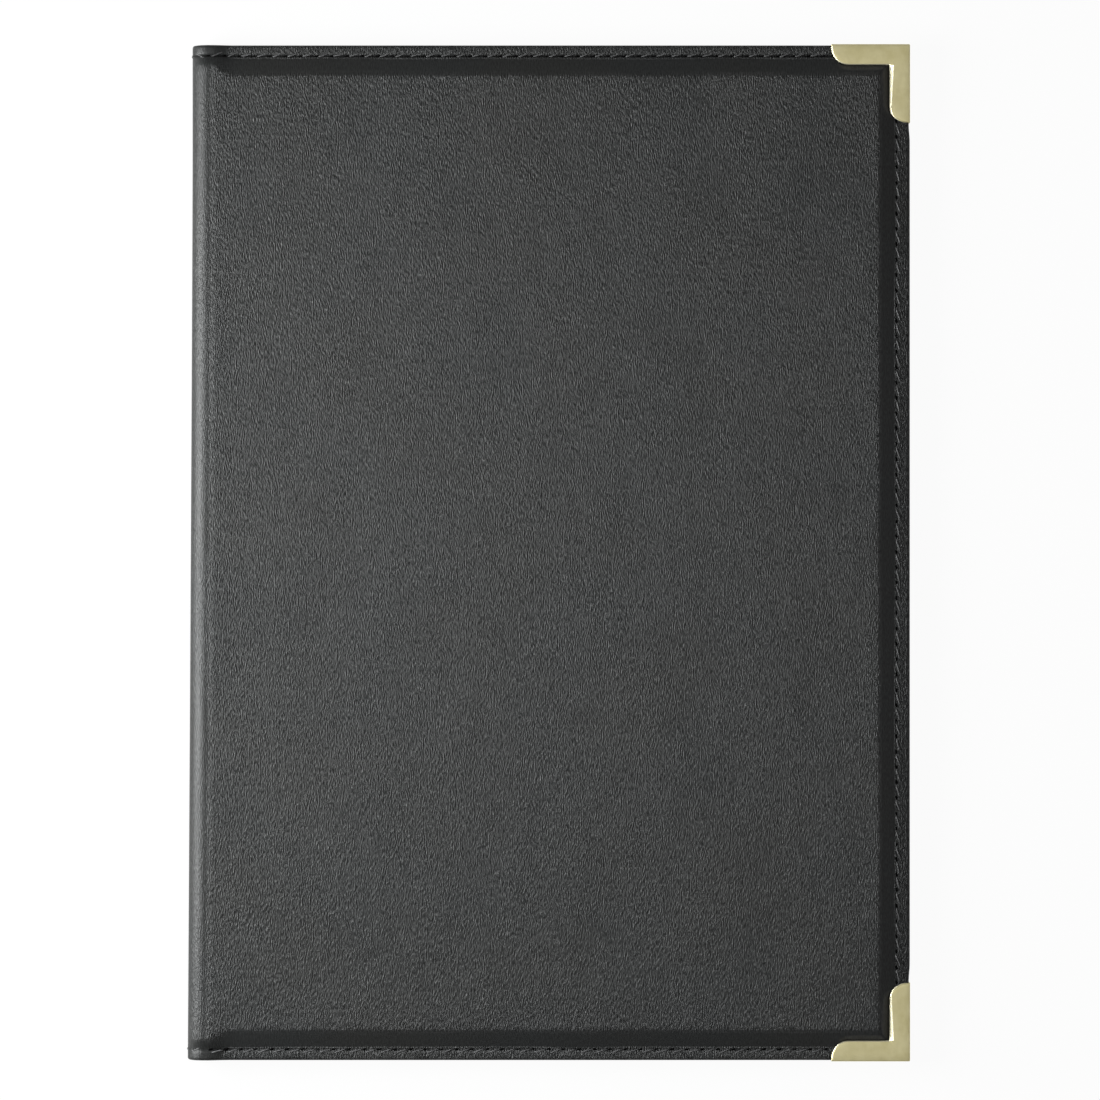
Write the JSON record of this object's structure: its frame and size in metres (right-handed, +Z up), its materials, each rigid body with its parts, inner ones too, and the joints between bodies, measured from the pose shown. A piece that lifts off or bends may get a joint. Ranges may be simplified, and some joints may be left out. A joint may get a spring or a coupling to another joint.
{
  "type": "menu cover",
  "caption": "Padded A4 bi-fold menu cover in dark leatherette with a soft rolled spine, stitched edges, clear inside pockets and folded brass corners; opens flat like a book.",
  "frame": {"origin": "below the middle of the closed cover, on the surface it lies on", "axes": "+Z up out of the front cover, +X from the spine to the opening edge, +Y to the top end of the cover"},
  "size_m": [0.2336, 0.3308, 0.011],
  "materials": {
    "cover_leatherette": "satin",
    "trim_leatherette": "satin",
    "lining": "matte",
    "foam": "matte",
    "greyboard": "matte",
    "clear_film": "gloss",
    "thread": "satin",
    "brass": "satin"
  },
  "bodies": {
    "back_cover": {"back_skin": "cover_leatherette", "back_foam_pad": "foam", "back_board": "greyboard", "back_lining": "lining", "back_pocket_film": "clear_film", "back_pocket_border": "trim_leatherette", "back_pocket_binding": "trim_leatherette", "back_stitching": "thread", "back_corner_top": "brass", "back_corner_bottom": "brass"},
    "front_cover": {"front_skin": "cover_leatherette", "front_foam_pad": "foam", "front_board": "greyboard", "front_lining": "lining", "front_pocket_film": "clear_film", "front_pocket_border": "trim_leatherette", "front_pocket_binding": "trim_leatherette", "front_stitching": "thread", "front_corner_top": "brass", "front_corner_bottom": "brass"},
    "spine_lower": {"spine_skin_lower": "cover_leatherette", "spine_lining_lower": "lining", "spine_stitches_lower": "thread"},
    "spine_middle": {"spine_skin_middle": "cover_leatherette", "spine_lining_middle": "lining", "spine_stitches_middle": "thread"},
    "spine_upper": {"spine_skin_upper": "cover_leatherette", "spine_lining_upper": "lining", "spine_stitches_upper": "thread"}
  },
  "joints": [
    {"name": "back_fold", "type": "hinge", "parent": "back_cover", "child": "spine_lower", "pos_m": [-0.11117, 0, 0], "axis": [0, -1, 0], "range_deg": [0, 30]},
    {"name": "lower_fold", "type": "hinge", "parent": "spine_lower", "child": "spine_middle", "pos_m": [-0.11594, 0, 0.00275], "axis": [0, -1, 0], "range_deg": [0, 60]},
    {"name": "upper_fold", "type": "hinge", "parent": "spine_middle", "child": "spine_upper", "pos_m": [-0.11594, 0, 0.00825], "axis": [0, -1, 0], "range_deg": [0, 60]},
    {"name": "front_fold", "type": "hinge", "parent": "spine_upper", "child": "front_cover", "pos_m": [-0.11117, 0, 0.011], "axis": [0, -1, 0], "range_deg": [0, 30]}
  ]
}
